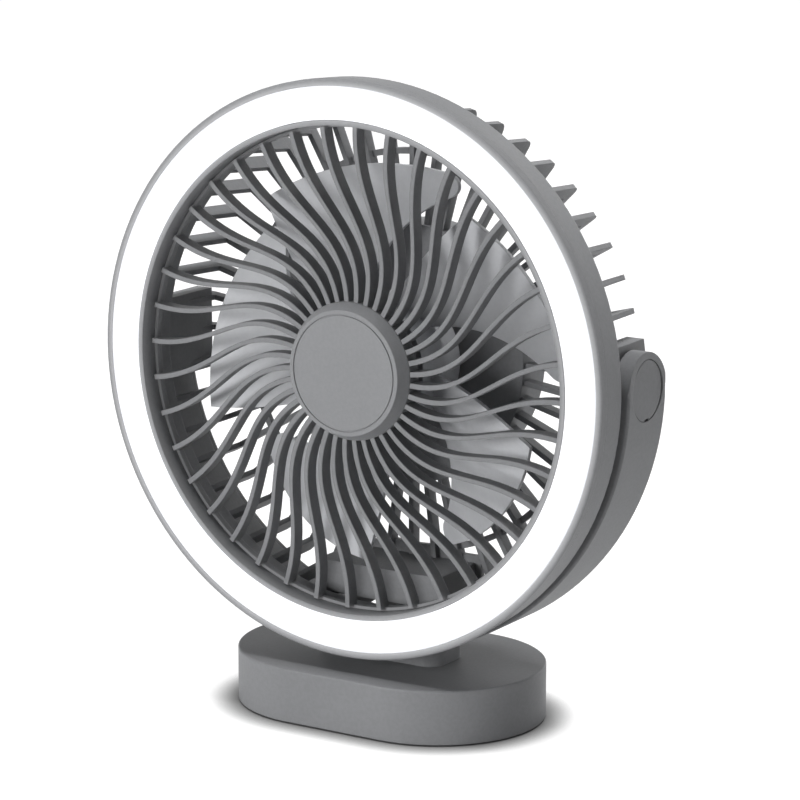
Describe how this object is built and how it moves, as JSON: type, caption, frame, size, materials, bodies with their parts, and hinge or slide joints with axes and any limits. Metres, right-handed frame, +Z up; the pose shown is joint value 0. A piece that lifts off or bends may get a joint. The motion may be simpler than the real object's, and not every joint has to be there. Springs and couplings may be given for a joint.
{
  "type": "rechargeable fan",
  "caption": "Tabletop rechargeable fan: a round guarded head with a ring light round its front grille tilts in a U-shaped yoke on a flat stadium base.",
  "frame": {"origin": "on the surface it stands on, under the middle of the base", "axes": "+Z up, the fan blows towards -Y, +X to the right seen from the front"},
  "size_m": [0.184, 0.07, 0.2062],
  "materials": {
    "body_plastic": "satin moulded grey",
    "hub_plastic": "satin moulded grey",
    "blade_plastic": "satin pale grey",
    "button_plastic": "satin grey",
    "light_lens": "opal, lit",
    "clear_lens": "clear",
    "light_chip": "moulded",
    "circuit_board": "lacquered board",
    "switch_plastic": "moulded",
    "foot_rubber": "matt",
    "battery_foil": "foil pouch",
    "cable_jacket": "matt",
    "washer_plastic": "moulded",
    "steel": "plated",
    "magnet": "pressed ferrite",
    "bronze": "sintered",
    "rotor_iron": "stacked sheets and winding"
  },
  "bodies": {
    "stand": {"base_shell": "body_plastic", "base_bottom_plate": "body_plastic", "rubber_feet": "foot_rubber", "base_screws": "steel", "battery_pad": "foot_rubber", "battery_pack": "battery_foil", "charge_board": "circuit_board", "charge_board_screws": "steel", "charging_socket": "steel", "yoke": "body_plastic", "yoke_cover": "body_plastic", "yoke_screws": "steel", "pivot_cap_left": "body_plastic", "pivot_cap_right": "body_plastic", "stand_cable": "cable_jacket"},
    "head": {"pivot_pin_left": "steel", "pivot_pin_right": "steel", "friction_washer_left": "washer_plastic", "friction_washer_right": "washer_plastic", "front_bezel": "body_plastic", "light_board": "circuit_board", "light_chips": "light_chip", "light_diffuser": "light_lens", "ring_housing": "body_plastic", "front_grille": "body_plastic", "hub_cap": "hub_plastic", "guard_side": "body_plastic", "guard_rear": "body_plastic", "motor_pod": "body_plastic", "guard_screws": "steel", "pod_cover": "body_plastic", "pod_screws": "steel", "motor_end_cap": "steel", "motor_can": "steel", "motor_magnets": "magnet", "motor_bearings": "bronze", "motor_screws": "steel", "control_box_cover": "body_plastic", "control_board": "circuit_board", "control_board_screws": "steel", "button_switches": "switch_plastic", "charge_lenses": "clear_lens", "head_cable": "cable_jacket"},
    "fan_rotor": {"impeller": "blade_plastic", "motor_shaft": "steel", "motor_rotor": "rotor_iron"},
    "fan_push": {"fan_button": "button_plastic"},
    "light_push": {"light_button": "button_plastic"}
  },
  "joints": [
    {"name": "head_tilt", "type": "hinge", "parent": "stand", "child": "head", "pos_m": [0, 0, 0.1146], "axis": [-1, 0, 0], "range_deg": [0, 180]},
    {"name": "fan_spin", "type": "hinge", "parent": "head", "child": "fan_rotor", "pos_m": [0, 0, 0.1146], "axis": [0, 1, 0], "continuous": true},
    {"name": "fan_press", "type": "slide", "parent": "head", "child": "fan_push", "axis": [0, -1, 0], "range_m": [0, 0.0008], "stiffness_N_per_m": 600, "springref_m": -0.0005},
    {"name": "light_press", "type": "slide", "parent": "head", "child": "light_push", "axis": [0, -1, 0], "range_m": [0, 0.0008], "stiffness_N_per_m": 600, "springref_m": -0.0005}
  ]
}
